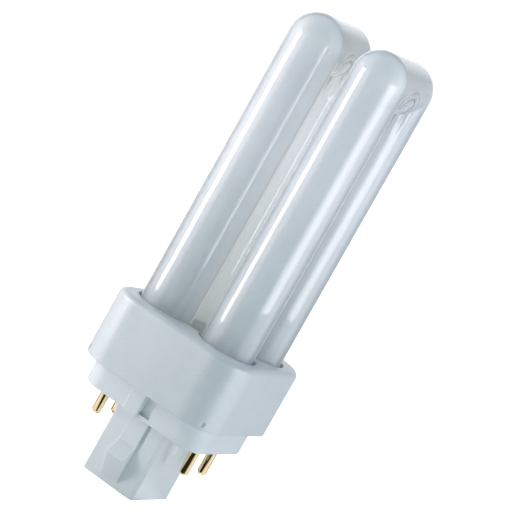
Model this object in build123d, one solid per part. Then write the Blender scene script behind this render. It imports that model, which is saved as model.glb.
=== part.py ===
# Four pin compact fluorescent lamp, modelled in millimetres.
# Z is the lamp's axis, with z = 0 at the seat plane: the underside of the flange that
# meets the lampholder. The glass points up and the key post points down.
# -Y is the front, the side with the opening beside the key rib; X runs from pin pair to pin pair.
import os
from math import atan2, cos, degrees, radians
from build123d import *

# Glass discharge tube
seat_to_glass_top = 87.0
tube_diameter = 11.6
tube_gap_x = 4.13
tube_gap_y = 1.85
tube_end_z = 12.0
tube_end_radius = 2.0
crotch_radius = 0.5
crease_top_z = 80.2
crease_top_width = 0.9
crease_start_drop = 1.0
bridge_diameter = 5.0
bridge_z = 15.5
seal_width = 8.4
seal_thickness = 2.8
seal_bottom_z = 7.0
seal_overlap = 1.0
end_rounding_share = 0.4
exhaust_tip_diameter = 3.0
exhaust_tip_length = 2.4

# Collar that holds the glass
collar_margin = 3.06
collar_corner_radius = 7.1
collar_bottom_z = 5.6
collar_height = 14.85
collar_wall = 1.5
collar_top_wall = 1.4
collar_rim_radius = 1.2
collar_foot_radius = 0.25
glass_gap = 0.65
centre_window_x = 12.0
centre_window_y = 17.6
centre_window_radius = 1.0
corner_dimple_radius = 0.7
corner_dimple_rise = 1.3
corner_dimple_depth = 0.45

# Cement that beds the glass in the collar
cement_depth = 6.0
cement_centre_rise = 1.0
cement_centre_clearance = 1.1

# Base cap: lid plate, flange and key post in one moulding
flange_setback_x = 1.925
flange_setback_y = 3.825
flange_corner_radius = 5.2
flange_edge_radius = 0.5
flange_floor = 1.8
flange_wall = 1.6
lid_thickness = 1.8
lid_clearance = 0.1
post_width_x = 12.8
post_width_y = 16.0
post_length = 16.0
post_wall = 1.4
post_well_radius = 1.0
post_chamfer = 0.7
post_chamfer_radius = 0.15
post_corner_radius = 0.4
post_tip_radius = 0.3
pad_left_x = -2.75
pad_right_x = 0.75
pad_depth = 0.6
pad_edge_radius = 0.25
window_right_x = 3.4
window_sill_z = 0.8
window_edge_radius = 0.5
window_depth = 1.1
groove_width = 0.8
groove_depth = 0.5
groove_foot_z = -7.0
groove_full_share = 0.6
rib_left_x = -2.35
rib_right_x = 1.9
rib_rise = 0.45
barb_rise = 2.3
barb_start_z = -6.6
barb_peak_z = -9.6
barb_foot_z = -14.7
barb_ridge_radius = 0.4
rib_edge_radius = 0.2
side_scoop_y = -1.7
side_scoop_radius = 2.5
side_scoop_depth = 1.3
side_scoop_length = 7.4
side_scoop_backing = 1.2

# Contact pins and the lead wires in them
pin_edge_distance = 3.1
pin_spacing_y = 8.1
pin_diameter = 2.0
pin_length = 6.4
pin_end_chamfer = 0.5
pin_root_diameter = 2.4
pin_head_diameter = 2.8
pin_head_thickness = 0.6
pin_stem_diameter = 1.6
pin_stem_above = 1.0
pin_bore_diameter = 0.8
pin_bore_depth = 2.4
boss_diameter = 4.2
boss_height = 0.8
wire_diameter = 0.6
wire_pitch = 3.2
wire_run_z = 5.3
wire_bend_radius = 0.8

# Values worked out from the sizes above
tube_radius = tube_diameter / 2
tube_pitch_x = tube_diameter + tube_gap_x
tube_pitch_y = tube_diameter + tube_gap_y
leg_x = tube_pitch_x / 2
leg_y = tube_pitch_y / 2
dome_z = seat_to_glass_top - tube_radius
crease_foot_z = dome_z - tube_radius - crease_start_drop
collar_width = tube_pitch_x + tube_diameter + 2 * collar_margin
collar_top_z = collar_bottom_z + collar_height
pocket_width = collar_width - 2 * collar_wall
pocket_corner_radius = collar_corner_radius - collar_wall
pocket_top_z = collar_top_z - collar_top_wall
lid_top_z = collar_bottom_z + lid_thickness
flange_width_x = collar_width - 2 * flange_setback_x
flange_width_y = collar_width - 2 * flange_setback_y
post_bottom_z = -post_length
pin_x = flange_width_x / 2 - pin_edge_distance
pin_y = pin_spacing_y / 2
pin_seat_z = flange_floor + boss_height
pin_top_z = pin_seat_z + pin_head_thickness + pin_stem_above


def find_edges(shape, wanted):
    # The shape's own edges that lie where the wanted ones do
    found = []
    for edge in wanted:
        found.append(min(shape.edges(), key=lambda e: (e.center() - edge.center()).length))
    return found


def rounded_block(width_x, width_y, corner_radius, bottom_z, top_z):
    outline = RectangleRounded(width_x, width_y, corner_radius)
    return Pos(0, 0, bottom_z) * extrude(outline, top_z - bottom_z)


def upright(x, y, radius, bottom_z, top_z):
    return Pos(x, y, bottom_z) * extrude(Circle(radius), top_z - bottom_z)


def round_leg(x, y):
    # A straight leg with the ball of the moulded corner on top and a drawn-in lower end
    foot_radius = tube_radius - tube_end_radius
    side_start_z = tube_end_z + tube_end_radius
    profile = make_face(
        Line((0, tube_end_z), (foot_radius, tube_end_z))
        + RadiusArc((foot_radius, tube_end_z), (tube_radius, side_start_z), -tube_end_radius)
        + Line((tube_radius, side_start_z), (tube_radius, dome_z))
        + RadiusArc((tube_radius, dome_z), (0, seat_to_glass_top), -tube_radius)
        + Line((0, seat_to_glass_top), (0, tube_end_z))
    )
    return Pos(x, y, 0) * revolve(Plane.XZ * profile, Axis.Z)


def crotch_crease(x):
    # The crease that the folded glass leaves between the legs, closing towards the top
    half_gap = (tube_pitch_y - tube_diameter) / 2
    half_top = crease_top_width / 2
    profile = make_face(
        Line((-half_gap, crease_foot_z), (half_gap, crease_foot_z))
        + Line((half_gap, crease_foot_z), (half_top, crease_top_z))
        + RadiusArc((half_top, crease_top_z), (-half_top, crease_top_z), -half_top)
        + Line((-half_top, crease_top_z), (-half_gap, crease_foot_z))
    )
    return Pos(x, 0, 0) * extrude(Plane.YZ * profile, tube_radius + 1, both=True)


def square_bend_tube(x):
    # Two legs joined by the square-moulded bend, with the crease's lips rounded
    front = round_leg(x, -leg_y)
    back = round_leg(x, leg_y)
    top = Pos(x, leg_y, dome_z) * Rot(90, 0, 0) * extrude(Circle(tube_radius), tube_pitch_y)
    bent = front + back + top - crotch_crease(x)
    return fillet(bent.edges().filter_by(GeomType.BSPLINE), crotch_radius)


def press_seal(x):
    # The flat pinch that closes the end of an electrode leg
    height = tube_end_z + seal_overlap - seal_bottom_z
    seal = Pos(x, -leg_y, seal_bottom_z + height / 2) * Box(seal_width, seal_thickness, height)
    return fillet(seal.edges().filter_by(Axis.Z), seal_thickness * end_rounding_share)


def exhaust_tip(x):
    tip_bottom = tube_end_z - exhaust_tip_length
    tip = upright(x, leg_y, exhaust_tip_diameter / 2, tip_bottom, tube_end_z + seal_overlap)
    return fillet(tip.edges().sort_by(Axis.Z)[0], exhaust_tip_diameter * end_rounding_share)


def make_discharge_tube():
    glass = square_bend_tube(-leg_x) + square_bend_tube(leg_x)
    bridge = Pos(-leg_x, leg_y, bridge_z) * Rot(0, 90, 0) * extrude(Circle(bridge_diameter / 2), tube_pitch_x)
    glass = glass + bridge
    for x in (-leg_x, leg_x):
        glass = glass + press_seal(x) + exhaust_tip(x)
    return glass


def glass_clearance(extra, bottom_z, top_z):
    # The four-lobed space around the legs, wider than the glass by the given gap
    space = Part()
    for x in (-leg_x, leg_x):
        for y in (-leg_y, leg_y):
            space = space + upright(x, y, tube_radius + extra, bottom_z, top_z)
    return space


def make_collar():
    # A square tray turned upside down, with a soft rim and a four-lobed opening
    body = rounded_block(collar_width, collar_width, collar_corner_radius, collar_bottom_z, collar_top_z)
    body = fillet(body.faces().sort_by(Axis.Z)[-1].edges(), collar_rim_radius)
    body = fillet(body.faces().sort_by(Axis.Z)[0].edges(), collar_foot_radius)
    pocket = rounded_block(pocket_width, pocket_width, pocket_corner_radius, collar_bottom_z, pocket_top_z)
    opening = glass_clearance(glass_gap, pocket_top_z, collar_top_z + 1)
    middle = rounded_block(
        centre_window_x, centre_window_y, centre_window_radius, pocket_top_z, collar_top_z + 1
    )
    body = body - pocket - opening - middle
    corner = collar_width / 2 - collar_corner_radius * (1 - 0.5 ** 0.5)
    reach = (corner_dimple_radius - corner_dimple_depth) * 0.5 ** 0.5
    for sx in (-1, 1):
        for sy in (-1, 1):
            centre = Pos(sx * (corner + reach), sy * (corner + reach), collar_bottom_z + corner_dimple_rise)
            body = body - centre * Sphere(corner_dimple_radius)
    return body


def make_cement(glass):
    # A slab under the collar's top, swelling up between the legs in the middle
    bottom = pocket_top_z - cement_depth
    slab = rounded_block(pocket_width, pocket_width, pocket_corner_radius, bottom, pocket_top_z)
    swell_x = centre_window_x - 2 * cement_centre_clearance
    swell_y = centre_window_y - 2 * cement_centre_clearance
    swell_top_z = pocket_top_z + cement_centre_rise
    swell = rounded_block(swell_x, swell_y, centre_window_radius, pocket_top_z, swell_top_z)
    return slab + swell - glass


def pin_places():
    # Name and position of each contact pin, seen from the front
    return [
        ("front_left", -pin_x, -pin_y),
        ("back_left", -pin_x, pin_y),
        ("front_right", pin_x, -pin_y),
        ("back_right", pin_x, pin_y),
    ]


def front_rib():
    # The low rib on the post, swelling to the barb that snaps under the holder's spring
    face_y = -post_width_y / 2
    profile = Polyline(
        (face_y + post_wall / 2, 0),
        (face_y - rib_rise, 0),
        (face_y - rib_rise, barb_start_z),
        (face_y - rib_rise - barb_rise, barb_peak_z),
        (face_y, barb_foot_z),
        (face_y + post_wall / 2, barb_foot_z),
        close=True,
    )
    width = rib_right_x - rib_left_x
    rib = Pos(rib_left_x, 0, 0) * extrude(Plane.YZ * make_face(profile), width)
    ridge = rib.edges().filter_by(Axis.X).sort_by(Axis.Y)[0]
    rib = fillet(ridge, barb_ridge_radius)
    left_edges = rib.faces().sort_by(Axis.X)[0].edges()
    proud = [e for e in left_edges if e.center().Y < face_y - rib_rise / 2]
    return fillet(proud, rib_edge_radius)


def flange_pad():
    # The raised pad on the flange above the rib
    depth = pad_depth + flange_wall / 2
    width = pad_right_x - pad_left_x
    centre_y = -flange_width_y / 2 - pad_depth + depth / 2
    pad = Pos(pad_left_x + width / 2, centre_y, collar_bottom_z / 2) * Box(width, depth, collar_bottom_z)
    return fillet(pad.faces().sort_by(Axis.Y)[0].edges().filter_by(Axis.Z), pad_edge_radius)


def side_scoop(added):
    # A round scoop in the post's right face, deepest at the flange and running out downwards
    slope = degrees(atan2(side_scoop_depth, side_scoop_length))
    run = 2 * side_scoop_length
    rod = Cylinder(side_scoop_radius + added, run)
    deepest_x = post_width_x / 2 - side_scoop_depth
    centre_x = deepest_x + side_scoop_radius / cos(radians(slope))
    rod = Pos(centre_x, side_scoop_y, 0) * Rot(0, -slope, 0) * rod
    return rod & Pos(0, 0, -run / 2) * Box(2 * post_width_x, post_width_y, run)


def flange_window():
    # The recess beside the pad, open upwards under the collar, with a soft right edge
    face_y = -flange_width_y / 2
    height = collar_bottom_z - window_sill_z
    width = window_right_x - pad_right_x
    centre = Pos(pad_right_x + width / 2, face_y, window_sill_z + height / 2)
    recess = centre * Box(width, 2 * window_depth, height)
    far_corner = recess.edges().filter_by(Axis.Z).group_by(Axis.X)[-1].sort_by(Axis.Y)[-1]
    return fillet(far_corner, window_edge_radius)


def rib_groove():
    # The narrow groove that sets the rib off from the post's front face
    face_y = -post_width_y / 2
    depth = Plane.YZ * make_face(Polyline(
        (face_y - 1, 0),
        (face_y + groove_depth, 0),
        (face_y + groove_depth, groove_foot_z * groove_full_share),
        (face_y, groove_foot_z),
        (face_y - 1, groove_foot_z),
        close=True,
    ))
    return Pos(rib_right_x, 0, 0) * extrude(depth, groove_width)


def make_base_cap():
    # Outside form: lid plate in the collar's mouth, flange under it, key post below
    lid_width = pocket_width - 2 * lid_clearance
    lid_radius = pocket_corner_radius - lid_clearance
    lid = rounded_block(lid_width, lid_width, lid_radius, collar_bottom_z, lid_top_z)
    flange = rounded_block(flange_width_x, flange_width_y, flange_corner_radius, 0, collar_bottom_z)
    flange = fillet(flange.faces().sort_by(Axis.Z)[0].edges(), flange_edge_radius)
    post = Pos(0, 0, post_bottom_z + post_length / 2) * Box(post_width_x, post_width_y, post_length)
    corners = post.edges().filter_by(Axis.Z)
    keyed = [e for e in corners if e.center().X * e.center().Y < 0]
    plain = [e for e in corners if e.center().X * e.center().Y > 0]
    post = chamfer(keyed, post_chamfer)
    slanted = [e for e in post.edges().filter_by(Axis.Z) if e.center().X * e.center().Y < 0]
    post = fillet(slanted, post_chamfer_radius)
    post = fillet(find_edges(post, plain), post_corner_radius)
    post = fillet(post.faces().sort_by(Axis.Z)[0].edges(), post_tip_radius)
    cap = lid + flange + post
    for turn in (0, 180):
        cap = cap + Rot(0, 0, turn) * front_rib() + Rot(0, 0, turn) * flange_pad()
        cap = cap - Rot(0, 0, turn) * side_scoop(0) - Rot(0, 0, turn) * flange_window()
        cap = cap - Rot(0, 0, turn) * rib_groove()

    # Inside form: a well in the flange and a deeper one in the post, both open at the top
    well_x = flange_width_x - 2 * flange_wall
    well_y = flange_width_y - 2 * flange_wall
    well = rounded_block(well_x, well_y, flange_corner_radius - flange_wall, flange_floor, lid_top_z)
    post_well_x = post_width_x - 2 * post_wall
    post_well_y = post_width_y - 2 * post_wall
    post_well_floor_z = post_bottom_z + post_wall
    post_well = rounded_block(post_well_x, post_well_y, post_well_radius, post_well_floor_z, flange_floor)
    for turn in (0, 180):
        post_well = post_well - Rot(0, 0, turn) * side_scoop(side_scoop_backing)
    cap = cap - well - post_well
    for name, x, y in pin_places():
        cap = cap + upright(x, y, boss_diameter / 2, flange_floor, pin_seat_z)
        cap = cap - upright(x, y, pin_root_diameter / 2, 0, pin_seat_z)
    return cap


def make_pin(x, y):
    # A turned brass pin: chamfered tip, thicker root in the flange, head and bored stem inside
    tip_z = -pin_length
    shank = upright(x, y, pin_diameter / 2, tip_z, 0)
    shank = chamfer(shank.edges().sort_by(Axis.Z)[0], pin_end_chamfer)
    head = upright(x, y, pin_head_diameter / 2, pin_seat_z, pin_seat_z + pin_head_thickness)
    root = upright(x, y, pin_root_diameter / 2, 0, pin_seat_z)
    stem = upright(x, y, pin_stem_diameter / 2, pin_seat_z, pin_top_z)
    bore = upright(x, y, pin_bore_diameter / 2, pin_top_z - pin_bore_depth, pin_top_z)
    return shank + root + head + stem - bore


def make_wire(x, y):
    # From the press seal's underside, across under the glass, and down into the pin's bore
    side = 1 if x > 0 else -1
    step = wire_pitch / 2 if y < 0 else -wire_pitch / 2
    start_x = side * (leg_x + step)
    path = FilletPolyline(
        (start_x, -leg_y, seal_bottom_z),
        (start_x, -leg_y, wire_run_z),
        (x, y, wire_run_z),
        (x, y, pin_top_z - pin_bore_depth),
        radius=wire_bend_radius,
    )
    section = Plane(origin=path @ 0, z_dir=path % 0) * Circle(wire_diameter / 2)
    return sweep(section, path=path)


def write_part(name, shape):
    shape.label = name
    export_step(shape, "parts/" + name + ".step")
    print(name, len(shape.solids()), round(shape.volume, 1))


os.makedirs("parts", exist_ok=True)
discharge_tube = make_discharge_tube()
write_part("discharge_tube", discharge_tube)
write_part("collar", make_collar())
write_part("bedding_cement", make_cement(discharge_tube))
write_part("base_cap", make_base_cap())
for place, x, y in pin_places():
    write_part("pin_" + place, make_pin(x, y))
    write_part("lead_wire_" + place, make_wire(x, y))
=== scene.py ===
# Looks of the four pin compact fluorescent lamp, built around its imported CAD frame.
# Metres throughout. Z is the lamp's axis, z = 0 the flange's underside, -Y the front.
from math import cos, pi, radians, sin
import bmesh
import bpy
from mathutils import Matrix, Vector


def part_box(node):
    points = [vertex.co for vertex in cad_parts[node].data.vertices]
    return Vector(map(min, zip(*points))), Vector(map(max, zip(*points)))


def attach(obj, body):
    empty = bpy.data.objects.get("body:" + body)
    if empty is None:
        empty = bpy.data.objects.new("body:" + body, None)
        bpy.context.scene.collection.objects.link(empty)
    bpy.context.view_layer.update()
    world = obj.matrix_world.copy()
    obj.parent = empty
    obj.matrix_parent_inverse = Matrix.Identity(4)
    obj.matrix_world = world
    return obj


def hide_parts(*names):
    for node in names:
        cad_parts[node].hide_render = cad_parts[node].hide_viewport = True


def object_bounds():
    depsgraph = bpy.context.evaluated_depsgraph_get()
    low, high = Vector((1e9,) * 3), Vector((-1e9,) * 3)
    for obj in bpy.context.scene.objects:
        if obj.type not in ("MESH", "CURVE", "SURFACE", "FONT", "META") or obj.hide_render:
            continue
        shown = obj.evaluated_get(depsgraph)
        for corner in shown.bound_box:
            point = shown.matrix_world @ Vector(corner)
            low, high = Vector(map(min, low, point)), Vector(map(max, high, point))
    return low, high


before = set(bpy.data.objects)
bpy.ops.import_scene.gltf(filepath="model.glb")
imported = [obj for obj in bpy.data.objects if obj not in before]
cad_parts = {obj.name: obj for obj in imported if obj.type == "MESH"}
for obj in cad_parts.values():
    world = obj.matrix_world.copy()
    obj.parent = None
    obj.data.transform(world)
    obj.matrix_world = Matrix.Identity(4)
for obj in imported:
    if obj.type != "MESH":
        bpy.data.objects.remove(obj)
cad_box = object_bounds()

# Camera at the photograph's viewing angle
CAMERA_PLACE = (0.1895557, -0.4329389, 0.1096528)
CAMERA_RIGHT = (0.768953, 0.4154947, 0.4858760)
CAMERA_DOWN = (0.5028683, 0.0761898, -0.8609986)
CAMERA_FORWARD = (-0.3947592, 0.9063991, -0.1503527)
CAMERA_AZIMUTH = -66.5
CAMERA_LENS = 167.34
CAMERA_CLIP = (0.01, 20.0)
SENSOR_WIDTH = 36.0

# Floor, at the foot of the lamp's post
FLOOR_Z = cad_box[0][2]
FLOOR_SIZE = 4.0
FLOOR_COLOUR = (0.86, 0.88, 0.88)
FLOOR_GLOW = 0.85

# What the camera sees behind the object
WHITE = (1.0, 1.0, 1.0)

# The studio walls' light, from behind the object (0) past its sides (0.5) to the camera (1)
WALL_GLOW = [(0.0, (1.05, 1.08, 1.10)), (0.5, (0.64, 0.74, 0.86)), (1.0, (0.04, 0.15, 0.13))]

# What gloss and metal see round the room: degrees away from the camera's azimuth, and how bright.
# Upwards the room darkens, between two heights of a unit direction, to a share of its brightness.
ROOM_SEEN = [
    (0, 0.02), (36, 0.03), (52, 0.95), (100, 1.10), (116, 0.30), (150, 0.35), (164, 1.0), (180, 1.0),
]
CEILING_SLOPE = (0.20, 0.70)
CEILING_SHARE = 0.25
FULL_TURN = 360

# Softboxes: azimuth in degrees, height and distance of the centre, width and height of the panel,
# watts, tint, and the share of the width over which each side fades out
SOFTBOXES = {
    "key_core": (-142, 0.049, 0.22, 0.078, 0.130, 0.186, (1.0, 0.90, 0.86), 0.12),
    "key_spread": (-130, 0.049, 0.22, 0.180, 0.130, 0.030, (1.0, 0.90, 0.86), 0.03),
    "right_panel": (0, 0.049, 0.28, 0.220, 0.130, 0.248, (1.0, 0.94, 1.0), 0.45),
    "right_front_panel": (-17, 0.049, 0.28, 0.180, 0.130, 0.119, (0.92, 0.96, 0.90), 0.45),
    "left_back_panel": (-172, 0.110, 0.24, 0.120, 0.130, 0.240, (1.0, 0.95, 0.92), 0.45),
}
SOFTBOX_AIM_Z = 0.030
UNSEEN_IN_GLOSS = ["left_back_panel"]

# Parts of a noise's range that the finishes use
NOISE_MIDDLE = (0.35, 0.65)
NOISE_MOST = (0.3, 0.7)
NOISE_UPPER = (0.5, 0.8)

# Moulded plastics; every colour here and below is linear
COLLAR = {
    "main": (0.745, 0.770, 0.805), "mottled": (0.710, 0.738, 0.775),
    "ior": 1.95, "roughness": 0.32, "grain_depth": 0.00013,
}
CAP = {
    "main": (0.825, 0.845, 0.865), "mottled": (0.807, 0.830, 0.851),
    "ior": 1.55, "roughness": 0.33, "grain_depth": 0.00002,
}
PLASTIC_ROUGHNESS_CHANGE = (-0.02, 0.02)
GRAIN_STRENGTH = 0.5
GRAIN_SCALE = 2600.0
GRAIN_NOISE = {"Detail": 3.0, "Roughness": 0.55}
MOTTLE_SCALE = 150.0
MOTTLE_NOISE = {"Detail": 4.0, "Roughness": 0.6}

# Powder of the phosphor coat, and with other scales of the cement
SPECKLE_SCALE = 3000.0
SPECKLE_NOISE = {"Detail": 2.0, "Roughness": 0.5}
CLOUD_SCALE = 200.0
CLOUD_NOISE = {"Detail": 3.0, "Roughness": 0.5}

# Bedding cement
CEMENT_COLOUR = (0.62, 0.64, 0.62)
CEMENT_DUST_COLOUR = (0.48, 0.50, 0.48)
CEMENT_SURFACE = {"Roughness": 0.9, "IOR": 1.4}
CEMENT_POWDER = {"Speckle Scale": 1800.0, "Cloud Scale": 320.0}
CEMENT_BUMP_STRENGTH = 0.8
CEMENT_BUMP_DEPTH = 0.0002

# Worked metals
BRASS = {"bright": (0.90, 0.73, 0.44), "dull": (0.74, 0.54, 0.26), "roughness": 0.10}
WIRE = {"bright": (0.62, 0.60, 0.57), "dull": (0.45, 0.43, 0.40), "roughness": 0.35}
METAL_DULLEST = 0.7
METAL_ROUGHNESS_CHANGE = (-0.03, 0.05)
RING_SCALE = 9000.0
RING_SQUEEZE = (0.02, 0.02, 1.0)
RING_NOISE = {"Detail": 2.0, "Roughness": 0.5}
RING_STRENGTH = 0.25
RING_DEPTH = 0.00001
PATCH_SCALE = 900.0
PATCH_NOISE = {"Detail": 3.0, "Roughness": 0.6}

# Glass: the shader's own sockets, and the painted shade of a band near each tube's outline, as the
# wall's brightness from face on (0) to edge on (1)
GLASS_SURFACE = {
    "Roughness": 0.03, "IOR": 1.8, "Emission Strength": 1.0,
    "Subsurface Weight": 1.0, "Subsurface Radius": (1.0, 1.0, 1.0), "Subsurface Scale": 0.020,
}
GLASS_EDGE_PAINTED_SHADE = [(0.0, 1.0), (0.34, 1.0), (0.50, 0.92), (0.60, 0.70), (0.68, 0.72), (0.84, 1.0), (1.0, 1.0)]
GLASS_EDGE_BLEND = 0.5

# Phosphor coat: it turns darker downwards between these heights, and its tone is a little cloudy
PHOSPHOR_COLOUR = (0.685, 0.69, 0.71)
PHOSPHOR_LOW_COLOUR = (0.49, 0.52, 0.525)
PHOSPHOR_DARKENING_Z = (0.020, 0.058)
PHOSPHOR_COVER = 0.9
PHOSPHOR_CLOUDS = (-0.08, 0.10)

# Light that a hollow tube lets through: on its outer and inner sides, the cosines between which a side
# turns from outer to inner, and the heights from which the flanks of the bends have a share of it
OUTER_CARRIED_LIGHT = (0.050, 0.053, 0.068)
INNER_CARRIED_LIGHT = (0.185, 0.190, 0.185)
INNER_FACING = (0.3, -0.7)
BEND_Z = (0.0775, 0.0820)
BEND_SHARE = 0.75

# Folds round the top of the slit in each bent tube: the centre of their arches, the heights over which
# they fade out below it, their spacing, reach and depth, and the shade in their valleys
FOLD_Y = -0.0005
FOLD_TOP_Z = 0.0788
FOLD_FOOT_Z = (0.0715, 0.0770)
FOLD_SPACING = 0.0014
FOLD_REACH = 0.0052
FOLD_DEPTH = 0.00045
FOLD_STRENGTH = 1.0
FOLD_SHADE_COLOUR = (0.16, 0.19, 0.15)
FOLD_SHADE_HEIGHT = (-0.10, -0.55)
FOLD_SHADE_MOST = 0.85

# Contact pins: half a profile, as radius and z, from the tip up the shank and head to the stem's bore
PIN_PROFILE = [
    (0.0, -0.0064), (0.00048, -0.0064), (0.00052, -0.00637), (0.00097, -0.00592), (0.0010, -0.00585),
    (0.0010, 0.0), (0.0012, 0.0), (0.0012, 0.0026), (0.0014, 0.0026), (0.0014, 0.0032),
    (0.0008, 0.0032), (0.0008, 0.0042), (0.0004, 0.0042), (0.0004, 0.0018), (0.0, 0.0018),
]
PIN_SIDES = 64
PIN_MERGE_DISTANCE = 1e-7
PIN_SHARP_ANGLE = 25

# Kinds of socket, as Blender names them
COLOUR_SOCKET = "NodeSocketColor"
FLOAT_SOCKET = "NodeSocketFloat"
GEOMETRY_SOCKET = "NodeSocketGeometry"
VECTOR_SOCKET = "NodeSocketVector"


def make_camera():
    data = bpy.data.cameras.new("camera")
    data.lens = CAMERA_LENS
    data.sensor_width = SENSOR_WIDTH
    data.clip_start, data.clip_end = CAMERA_CLIP
    camera = bpy.data.objects.new("camera", data)
    bpy.context.collection.objects.link(camera)
    axes = (Vector(CAMERA_RIGHT), -Vector(CAMERA_DOWN), -Vector(CAMERA_FORWARD))
    turn = Matrix(axes).transposed()
    camera.matrix_world = Matrix.Translation(CAMERA_PLACE) @ turn.to_4x4()
    bpy.context.scene.camera = camera


def new_material(name):
    # A material with nothing in its tree but the output
    material = bpy.data.materials.new(name)
    material.use_nodes = True
    tree = material.node_tree
    tree.nodes.clear()
    output = tree.nodes.new("ShaderNodeOutputMaterial")
    return material, tree, output


def add(tree, kind, sockets=None, **settings):
    # A new node, with its own settings and its sockets' values
    node = tree.nodes.new(kind)
    for key, value in settings.items():
        setattr(node, key, value)
    for key, value in (sockets or {}).items():
        node.inputs[key].default_value = value
    return node


def add_group(tree, group, sockets=None):
    return add(tree, "ShaderNodeGroup", sockets, node_tree=group)


def feed(tree, value, socket):
    # A socket takes another node's output, or a value of its own
    if isinstance(value, bpy.types.NodeSocket):
        tree.links.new(value, socket)
    else:
        socket.default_value = value


def maths(tree, operation, *values):
    node = add(tree, "ShaderNodeMath", operation=operation)
    for value, socket in zip(values, node.inputs):
        feed(tree, value, socket)
    return node.outputs[0]


def vector_maths(tree, operation, *values):
    node = add(tree, "ShaderNodeVectorMath", operation=operation)
    for value, socket in zip(values, node.inputs):
        feed(tree, value, socket)
    gives_number = operation in ("DOT_PRODUCT", "LENGTH")
    return node.outputs["Value" if gives_number else "Vector"]


def split_xyz(tree, vector):
    node = add(tree, "ShaderNodeSeparateXYZ")
    tree.links.new(vector, node.inputs[0])
    return node.outputs


def colour(rgb):
    return (rgb[0], rgb[1], rgb[2], 1.0)


def grey(value):
    return (value, value, value, 1.0)


def colour_ramp(tree, value, stops):
    # A colour that follows a value; stops are (value, colour)
    ramp = add(tree, "ShaderNodeValToRGB")
    elements = ramp.color_ramp.elements
    while len(elements) < len(stops):
        elements.new(1.0)
    for element, (place, rgba) in zip(elements, stops):
        element.position = place
        element.color = rgba
    tree.links.new(value, ramp.inputs["Fac"])
    return ramp.outputs["Color"]


def blend_colours(tree, share, first, second, blend_type="MIX"):
    # On a Mix node of colours, sockets 6 and 7 are the two colours and output 2 is their mix
    mix = add(tree, "ShaderNodeMix", data_type="RGBA", blend_type=blend_type)
    feed(tree, share, mix.inputs[0])
    feed(tree, first, mix.inputs[6])
    feed(tree, second, mix.inputs[7])
    return mix.outputs[2]


def vary(tree, value, between, results=(0.0, 1.0)):
    # A varying value brought from one range to another, and held at the ends
    spread = add(tree, "ShaderNodeMapRange", {
        "From Min": between[0], "From Max": between[1], "To Min": results[0], "To Max": results[1],
    })
    tree.links.new(value, spread.inputs["Value"])
    return spread.outputs["Result"]


def noise(tree, vector, scale, sockets):
    node = add(tree, "ShaderNodeTexNoise", sockets)
    tree.links.new(vector, node.inputs["Vector"])
    tree.links.new(scale, node.inputs["Scale"])
    return node.outputs["Fac"]


def bump(tree, height, strength, distance):
    node = add(tree, "ShaderNodeBump", {"Strength": strength, "Distance": distance})
    tree.links.new(height, node.inputs["Height"])
    return node.outputs["Normal"]


def mix_shaders(tree, share, first, second):
    mix = add(tree, "ShaderNodeMixShader")
    tree.links.new(share, mix.inputs["Fac"])
    tree.links.new(first, mix.inputs[1])
    tree.links.new(second, mix.inputs[2])
    return mix.outputs[0]


def principled(tree, output, sockets):
    shader = add(tree, "ShaderNodeBsdfPrincipled", sockets)
    tree.links.new(shader.outputs[0], output.inputs["Surface"])
    return shader


def new_group(name, inputs, outputs):
    # An empty shader group; inputs are (name, kind of socket, default), outputs (name, kind)
    group = bpy.data.node_groups.new(name, "ShaderNodeTree")
    for title, kind, default in inputs:
        socket = group.interface.new_socket(title, in_out="INPUT", socket_type=kind)
        socket.default_value = default
    for title, kind in outputs:
        group.interface.new_socket(title, in_out="OUTPUT", socket_type=kind)
    return group, group.nodes.new("NodeGroupInput"), group.nodes.new("NodeGroupOutput")


def room_group():
    # The room as gloss sees it: dark at the camera, bright at both sides, white behind
    group, given, result = new_group(
        "room_by_azimuth", [("Direction", VECTOR_SOCKET, (0.0, 0.0, 0.0))], [("Color", COLOUR_SOCKET)]
    )
    direction = given.outputs["Direction"]
    turn_back = {"Angle": radians(-CAMERA_AZIMUTH)}
    turned = add(group, "ShaderNodeVectorRotate", turn_back, rotation_type="Z_AXIS")
    group.links.new(direction, turned.inputs["Vector"])
    azimuth = add(group, "ShaderNodeTexGradient", gradient_type="RADIAL")
    group.links.new(turned.outputs["Vector"], azimuth.inputs["Vector"])
    # Half way along the ramp is the camera's azimuth, and both halves are the same
    left = [(0.5 - away / FULL_TURN, grey(value)) for away, value in reversed(ROOM_SEEN)]
    right = [(0.5 + away / FULL_TURN, grey(value)) for away, value in ROOM_SEEN[1:]]
    seen = colour_ramp(group, azimuth.outputs["Fac"], left + right)
    slope = split_xyz(group, vector_maths(group, "NORMALIZE", direction))["Z"]
    dimmed = add(group, "ShaderNodeVectorMath", operation="SCALE")
    group.links.new(seen, dimmed.inputs[0])
    group.links.new(vary(group, slope, CEILING_SLOPE, (1.0, CEILING_SHARE)), dimmed.inputs["Scale"])
    group.links.new(dimmed.outputs["Vector"], result.inputs["Color"])
    return group


def ray_kinds(tree):
    # 1 for rays that see the plain white background, and 1 for rays of gloss, which see the room
    path = add(tree, "ShaderNodeLightPath")
    white = maths(tree, "MAXIMUM", path.outputs["Is Camera Ray"], path.outputs["Is Transmission Ray"])
    return white, path.outputs["Is Glossy Ray"]


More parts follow.
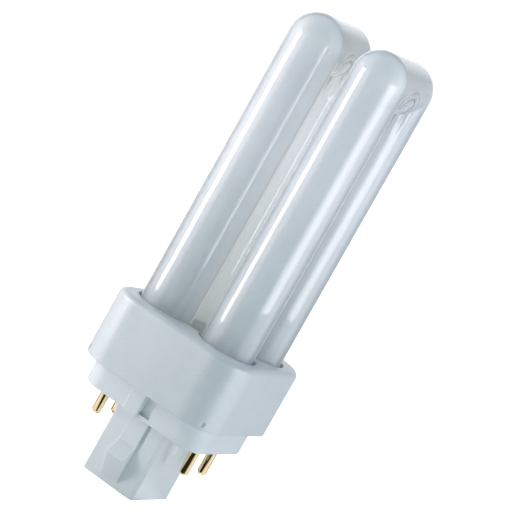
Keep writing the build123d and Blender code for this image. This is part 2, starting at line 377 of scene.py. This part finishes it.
def make_world(room):
    # White background, with the light of pale walls that are dimmer on the camera's side
    world = bpy.data.worlds.new("studio")
    bpy.context.scene.world = world
    world.use_nodes = True
    tree = world.node_tree
    tree.nodes.clear()
    output = tree.nodes.new("ShaderNodeOutputWorld")
    white, gloss = ray_kinds(tree)
    direction = add(tree, "ShaderNodeTexCoord").outputs["Generated"]
    facing = vector_maths(tree, "DOT_PRODUCT", direction, -Vector(CAMERA_FORWARD))
    across = vary(tree, facing, (-1.0, 1.0))
    walls = colour_ramp(tree, across, [(place, colour(rgb)) for place, rgb in WALL_GLOW])
    glow = add(tree, "ShaderNodeBackground")
    tree.links.new(walls, glow.inputs["Color"])
    seen = add_group(tree, room)
    tree.links.new(direction, seen.inputs["Direction"])
    mirrored = add(tree, "ShaderNodeBackground")
    tree.links.new(seen.outputs["Color"], mirrored.inputs["Color"])
    shown = add(tree, "ShaderNodeBackground", {"Color": colour(WHITE)})
    light = mix_shaders(tree, gloss, glow.outputs[0], mirrored.outputs[0])
    background = mix_shaders(tree, white, light, shown.outputs[0])
    tree.links.new(background, output.inputs["Surface"])


def make_floor(room):
    # A plain pale floor, white to the camera but for the shadow, and part of the room to gloss
    half = FLOOR_SIZE / 2
    mesh = bpy.data.meshes.new("floor")
    sides = ((-half, -half), (half, -half), (half, half), (-half, half))
    corners = [(x, y, FLOOR_Z) for x, y in sides]
    mesh.from_pydata(corners, [], [(0, 1, 2, 3)])
    floor = bpy.data.objects.new("floor", mesh)
    bpy.context.collection.objects.link(floor)
    material, tree, output = new_material("floor_white")
    white, gloss = ray_kinds(tree)
    matt = add(tree, "ShaderNodeBsdfDiffuse", {"Color": colour(FLOOR_COLOUR)})
    glow = add(tree, "ShaderNodeEmission", {"Color": colour(WHITE)})
    tree.links.new(maths(tree, "MULTIPLY", white, FLOOR_GLOW), glow.inputs["Strength"])
    both = add(tree, "ShaderNodeAddShader")
    tree.links.new(matt.outputs[0], both.inputs[0])
    tree.links.new(glow.outputs[0], both.inputs[1])
    seen = add_group(tree, room)
    tree.links.new(add(tree, "ShaderNodeTexCoord").outputs["Object"], seen.inputs["Direction"])
    mirrored = add(tree, "ShaderNodeEmission")
    tree.links.new(seen.outputs["Color"], mirrored.inputs["Color"])
    surface = mix_shaders(tree, gloss, both.outputs[0], mirrored.outputs[0])
    tree.links.new(surface, output.inputs["Surface"])
    mesh.materials.append(material)


def make_softbox(name, azimuth, height, distance, size_x, size_y, power, tint, soft_share):
    # A rectangular softbox that faces the lamp's axis, its light fading towards both sides
    data = bpy.data.lights.new(name, "AREA")
    data.shape = "RECTANGLE"
    data.size = size_x
    data.size_y = size_y
    data.energy = power
    data.color = tint
    data.use_nodes = True
    tree = data.node_tree
    # The panel runs from 0 to 1 across, so its middle is 0.5 from both sides
    across = split_xyz(tree, add(tree, "ShaderNodeNewGeometry").outputs["Parametric"])["X"]
    from_middle = maths(tree, "ABSOLUTE", maths(tree, "SUBTRACT", across, 0.5))
    edges = {"From Min": 0.5, "From Max": 0.5 - soft_share}
    fade = add(tree, "ShaderNodeMapRange", edges, interpolation_type="SMOOTHSTEP")
    tree.links.new(from_middle, fade.inputs["Value"])
    tree.links.new(fade.outputs["Result"], tree.nodes["Emission"].inputs["Strength"])
    light = bpy.data.objects.new(name, data)
    bpy.context.collection.objects.link(light)
    angle = radians(azimuth)
    place = Vector((distance * cos(angle), distance * sin(angle), height))
    aim = Vector((0, 0, SOFTBOX_AIM_Z)) - place
    light.location = place
    light.rotation_mode = "QUATERNION"
    light.rotation_quaternion = aim.to_track_quat("-Z", "Y")
    light.visible_camera = False
    light.visible_glossy = name not in UNSEEN_IN_GLOSS


def skin_group():
    # The fine eroded grain and the slow mottle of a moulded plastic skin
    group, given, result = new_group(
        "moulded_skin",
        [("Grain Scale", FLOAT_SOCKET, GRAIN_SCALE), ("Mottle Scale", FLOAT_SOCKET, MOTTLE_SCALE)],
        [("Grain", FLOAT_SOCKET), ("Mottle", FLOAT_SOCKET)],
    )
    place = add(group, "ShaderNodeTexCoord").outputs["Object"]
    grain = noise(group, place, given.outputs["Grain Scale"], GRAIN_NOISE)
    mottle = noise(group, place, given.outputs["Mottle Scale"], MOTTLE_NOISE)
    group.links.new(grain, result.inputs["Grain"])
    group.links.new(mottle, result.inputs["Mottle"])
    return group


def powder_group():
    # Fine powder: close speckle over soft clouds
    group, given, result = new_group(
        "powder_speckle",
        [("Speckle Scale", FLOAT_SOCKET, SPECKLE_SCALE), ("Cloud Scale", FLOAT_SOCKET, CLOUD_SCALE)],
        [("Fac", FLOAT_SOCKET)],
    )
    place = add(group, "ShaderNodeTexCoord").outputs["Object"]
    speckle = noise(group, place, given.outputs["Speckle Scale"], SPECKLE_NOISE)
    cloud = noise(group, place, given.outputs["Cloud Scale"], CLOUD_NOISE)
    mean = maths(group, "MULTIPLY", maths(group, "ADD", speckle, cloud), 0.5)
    group.links.new(mean, result.inputs["Fac"])
    return group


def worked_metal_group():
    # Close rings left by turning or drawing, and slow dull patches
    group, given, result = new_group(
        "worked_metal",
        [("Ring Scale", FLOAT_SOCKET, RING_SCALE), ("Patch Scale", FLOAT_SOCKET, PATCH_SCALE)],
        [("Rings", FLOAT_SOCKET), ("Patches", FLOAT_SOCKET)],
    )
    place = add(group, "ShaderNodeTexCoord").outputs["Object"]
    squeezed = add(group, "ShaderNodeMapping", {"Scale": RING_SQUEEZE})
    group.links.new(place, squeezed.inputs["Vector"])
    rings = noise(group, squeezed.outputs["Vector"], given.outputs["Ring Scale"], RING_NOISE)
    patches = noise(group, place, given.outputs["Patch Scale"], PATCH_NOISE)
    group.links.new(rings, result.inputs["Rings"])
    group.links.new(patches, result.inputs["Patches"])
    return group


def moulded_plastic(name, skin, main, mottled, ior, roughness, grain_depth):
    material, tree, output = new_material(name)
    shader = principled(tree, output, {"IOR": ior})
    surface = add_group(tree, skin)
    mottle = vary(tree, surface.outputs["Mottle"], NOISE_MIDDLE)
    white = blend_colours(tree, mottle, colour(main), colour(mottled))
    tree.links.new(white, shader.inputs["Base Color"])
    results = [roughness + change for change in PLASTIC_ROUGHNESS_CHANGE]
    tree.links.new(vary(tree, surface.outputs["Grain"], NOISE_MOST, results), shader.inputs["Roughness"])
    grain = bump(tree, surface.outputs["Grain"], GRAIN_STRENGTH, grain_depth)
    tree.links.new(grain, shader.inputs["Normal"])
    return material


def fold_height(tree, place):
    # Nested arches round the top of the slit between the legs of each bent tube
    spot = split_xyz(tree, place)
    rise = maths(tree, "MAXIMUM", maths(tree, "SUBTRACT", spot["Z"], FOLD_TOP_Z), 0.0)
    aside = maths(tree, "SUBTRACT", spot["Y"], FOLD_Y)
    arch = add(tree, "ShaderNodeCombineXYZ")
    tree.links.new(aside, arch.inputs["Y"])
    tree.links.new(rise, arch.inputs["Z"])
    away = vector_maths(tree, "LENGTH", arch.outputs[0])
    ripple = maths(tree, "COSINE", maths(tree, "MULTIPLY", away, 2 * pi / FOLD_SPACING))
    near = vary(tree, away, (0.0, FOLD_REACH), (1.0, 0.0))
    high = vary(tree, spot["Z"], FOLD_FOOT_Z)
    return maths(tree, "MULTIPLY", ripple, maths(tree, "MULTIPLY", near, high))


def carried_share(tree, place):
    # 1 on the sides of the tubes that face the lamp's axis, 0 on those that face away from it,
    # and a large part on the flanks of the bends, where light comes round from both legs
    spot = place.outputs["Object"]
    normal = place.outputs["Normal"]
    outward = vector_maths(tree, "NORMALIZE", vector_maths(tree, "MULTIPLY", spot, (1.0, 1.0, 0.0)))
    inner = vary(tree, vector_maths(tree, "DOT_PRODUCT", outward, normal), INNER_FACING)
    bend = vary(tree, split_xyz(tree, spot)["Z"], BEND_Z, (0.0, BEND_SHARE))
    sideways = maths(tree, "ABSOLUTE", split_xyz(tree, normal)["X"])
    return maths(tree, "MAXIMUM", inner, maths(tree, "MULTIPLY", bend, sideways))


def coated_glass(powder):
    # Clear glass over a white phosphor coat that turns darker towards the electrodes. The solid tube
    # stands for a hollow one, so the light that a hollow one lets through is added as a faint glow.
    material, tree, output = new_material("coated_glass")
    shader = principled(tree, output, GLASS_SURFACE)
    place = add(tree, "ShaderNodeTexCoord")
    spot = place.outputs["Object"]
    coat = vary(tree, split_xyz(tree, spot)["Z"], PHOSPHOR_DARKENING_Z, (0.0, PHOSPHOR_COVER))
    clouds = vary(tree, add_group(tree, powder).outputs["Fac"], NOISE_MIDDLE, PHOSPHOR_CLOUDS)
    cover = maths(tree, "ADD", coat, clouds)
    phosphor = blend_colours(tree, cover, colour(PHOSPHOR_LOW_COLOUR), colour(PHOSPHOR_COLOUR))
    # Painted shade: the wall is darkened in a band near each tube's outline, by how edge-on the surface
    # is
    edge = add(tree, "ShaderNodeLayerWeight", {"Blend": GLASS_EDGE_BLEND})
    painted_edge_shade = colour_ramp(tree, edge.outputs["Facing"], [(away, grey(value)) for away, value in GLASS_EDGE_PAINTED_SHADE])
    edge_shaded = blend_colours(tree, 1.0, phosphor, painted_edge_shade, "MULTIPLY")
    folds = fold_height(tree, spot)
    shade = vary(tree, folds, FOLD_SHADE_HEIGHT, (0.0, FOLD_SHADE_MOST))
    folded = blend_colours(tree, shade, edge_shaded, colour(FOLD_SHADE_COLOUR))
    tree.links.new(folded, shader.inputs["Base Color"])
    inner = carried_share(tree, place)
    carried = blend_colours(tree, inner, colour(OUTER_CARRIED_LIGHT), colour(INNER_CARRIED_LIGHT))
    tree.links.new(carried, shader.inputs["Emission Color"])
    tree.links.new(bump(tree, folds, FOLD_STRENGTH, FOLD_DEPTH), shader.inputs["Normal"])
    return material


def worked_metal(name, surface_group, bright, dull, roughness):
    material, tree, output = new_material(name)
    shader = principled(tree, output, {"Metallic": 1.0})
    surface = add_group(tree, surface_group)
    dullness = vary(tree, surface.outputs["Patches"], NOISE_UPPER, (0.0, METAL_DULLEST))
    metal_colour = blend_colours(tree, dullness, colour(bright), colour(dull))
    tree.links.new(metal_colour, shader.inputs["Base Color"])
    results = [roughness + change for change in METAL_ROUGHNESS_CHANGE]
    tree.links.new(vary(tree, surface.outputs["Rings"], NOISE_MOST, results), shader.inputs["Roughness"])
    rings = bump(tree, surface.outputs["Rings"], RING_STRENGTH, RING_DEPTH)
    tree.links.new(rings, shader.inputs["Normal"])
    return material


def bedding_cement(powder):
    material, tree, output = new_material("bedding_cement")
    shader = principled(tree, output, CEMENT_SURFACE)
    grit = add_group(tree, powder, CEMENT_POWDER).outputs["Fac"]
    dusty = vary(tree, grit, NOISE_MIDDLE)
    cement_colour = blend_colours(tree, dusty, colour(CEMENT_DUST_COLOUR), colour(CEMENT_COLOUR))
    tree.links.new(cement_colour, shader.inputs["Base Color"])
    tree.links.new(bump(tree, grit, CEMENT_BUMP_STRENGTH, CEMENT_BUMP_DEPTH), shader.inputs["Normal"])
    return material


def dress(node, material):
    # A CAD node keeps its mesh and gets its finish
    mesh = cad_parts[node].data
    mesh.materials.clear()
    mesh.materials.append(material)


def dress_all(metal):
    # Every node but the pins, which get a piece of their own
    skin = skin_group()
    powder = powder_group()
    dress("collar", moulded_plastic("collar_plastic", skin, **COLLAR))
    dress("base_cap", moulded_plastic("cap_plastic", skin, **CAP))
    dress("discharge_tube", coated_glass(powder))
    dress("bedding_cement", bedding_cement(powder))
    bare_wire = worked_metal("bare_wire", metal, **WIRE)
    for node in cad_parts:
        if node.startswith("lead_wire_"):
            dress(node, bare_wire)


def turned_pin():
    # One pin spun from its half profile, with a crisp chamfer at the tip
    form = bmesh.new()
    points = [form.verts.new((radius, 0, z)) for radius, z in PIN_PROFILE]
    edges = [form.edges.new(pair) for pair in zip(points, points[1:])]
    bmesh.ops.spin(
        form, geom=points + edges, cent=(0, 0, 0), axis=(0, 0, 1), angle=2 * pi, steps=PIN_SIDES,
        use_merge=True,
    )
    bmesh.ops.remove_doubles(form, verts=form.verts, dist=PIN_MERGE_DISTANCE)
    bmesh.ops.recalc_face_normals(form, faces=form.faces)
    mesh = bpy.data.meshes.new("turned_pin")
    form.to_mesh(mesh)
    form.free()
    return mesh


def pin_spacing():
    # How far apart the CAD pins stand: twice the back right one's distance from the axis, each way
    low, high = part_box("pin_back_right")
    return {"Spacing X": low.x + high.x, "Spacing Y": low.y + high.y}


def pin_pattern(material):
    # Geometry nodes that set one pin on each corner of the cap's pin rectangle
    tree = bpy.data.node_groups.new("pin_pattern", "GeometryNodeTree")
    inputs = {"Pin": GEOMETRY_SOCKET, "Spacing X": FLOAT_SOCKET, "Spacing Y": FLOAT_SOCKET}
    for title, kind in inputs.items():
        tree.interface.new_socket(title, in_out="INPUT", socket_type=kind)
    tree.interface.new_socket("Pins", in_out="OUTPUT", socket_type=GEOMETRY_SOCKET)
    given = tree.nodes.new("NodeGroupInput")
    result = tree.nodes.new("NodeGroupOutput")
    corners = add(tree, "GeometryNodeMeshGrid", {"Vertices X": 2, "Vertices Y": 2})
    placed = add(tree, "GeometryNodeInstanceOnPoints")
    solid = add(tree, "GeometryNodeRealizeInstances")
    finished = add(tree, "GeometryNodeSetMaterial", {"Material": material})
    tree.links.new(given.outputs["Spacing X"], corners.inputs["Size X"])
    tree.links.new(given.outputs["Spacing Y"], corners.inputs["Size Y"])
    tree.links.new(corners.outputs["Mesh"], placed.inputs["Points"])
    tree.links.new(given.outputs["Pin"], placed.inputs["Instance"])
    tree.links.new(placed.outputs["Instances"], solid.inputs["Geometry"])
    tree.links.new(solid.outputs["Geometry"], finished.inputs["Geometry"])
    tree.links.new(finished.outputs["Geometry"], result.inputs["Pins"])
    return tree


def settle(piece, tree, values):
    # Run a geometry nodes tree on a piece, keep its result as a plain mesh, and drop the modifier
    modifier = piece.modifiers.new(tree.name, "NODES")
    modifier.node_group = tree
    for item in tree.interface.items_tree:
        if item.in_out == "INPUT" and item.name in values:
            modifier[item.identifier] = values[item.name]
    graph = bpy.context.evaluated_depsgraph_get()
    mesh = bpy.data.meshes.new_from_object(piece.evaluated_get(graph), depsgraph=graph)
    piece.modifiers.clear()
    piece.data = mesh


def make_contact_pins(metal):
    brass = worked_metal("pin_brass", metal, **BRASS)
    pins = bpy.data.objects.new("contact_pins", turned_pin())
    bpy.context.collection.objects.link(pins)
    settle(pins, pin_pattern(brass), pin_spacing())
    pins.data.set_sharp_from_angle(angle=radians(PIN_SHARP_ANGLE))
    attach(pins, "root")
    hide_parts("pin_front_left", "pin_front_right", "pin_back_left", "pin_back_right")


make_camera()
room = room_group()
make_world(room)
make_floor(room)
for name, values in SOFTBOXES.items():
    make_softbox(name, *values)
metal = worked_metal_group()
dress_all(metal)
make_contact_pins(metal)

bpy.context.scene.view_settings.view_transform = "Standard"
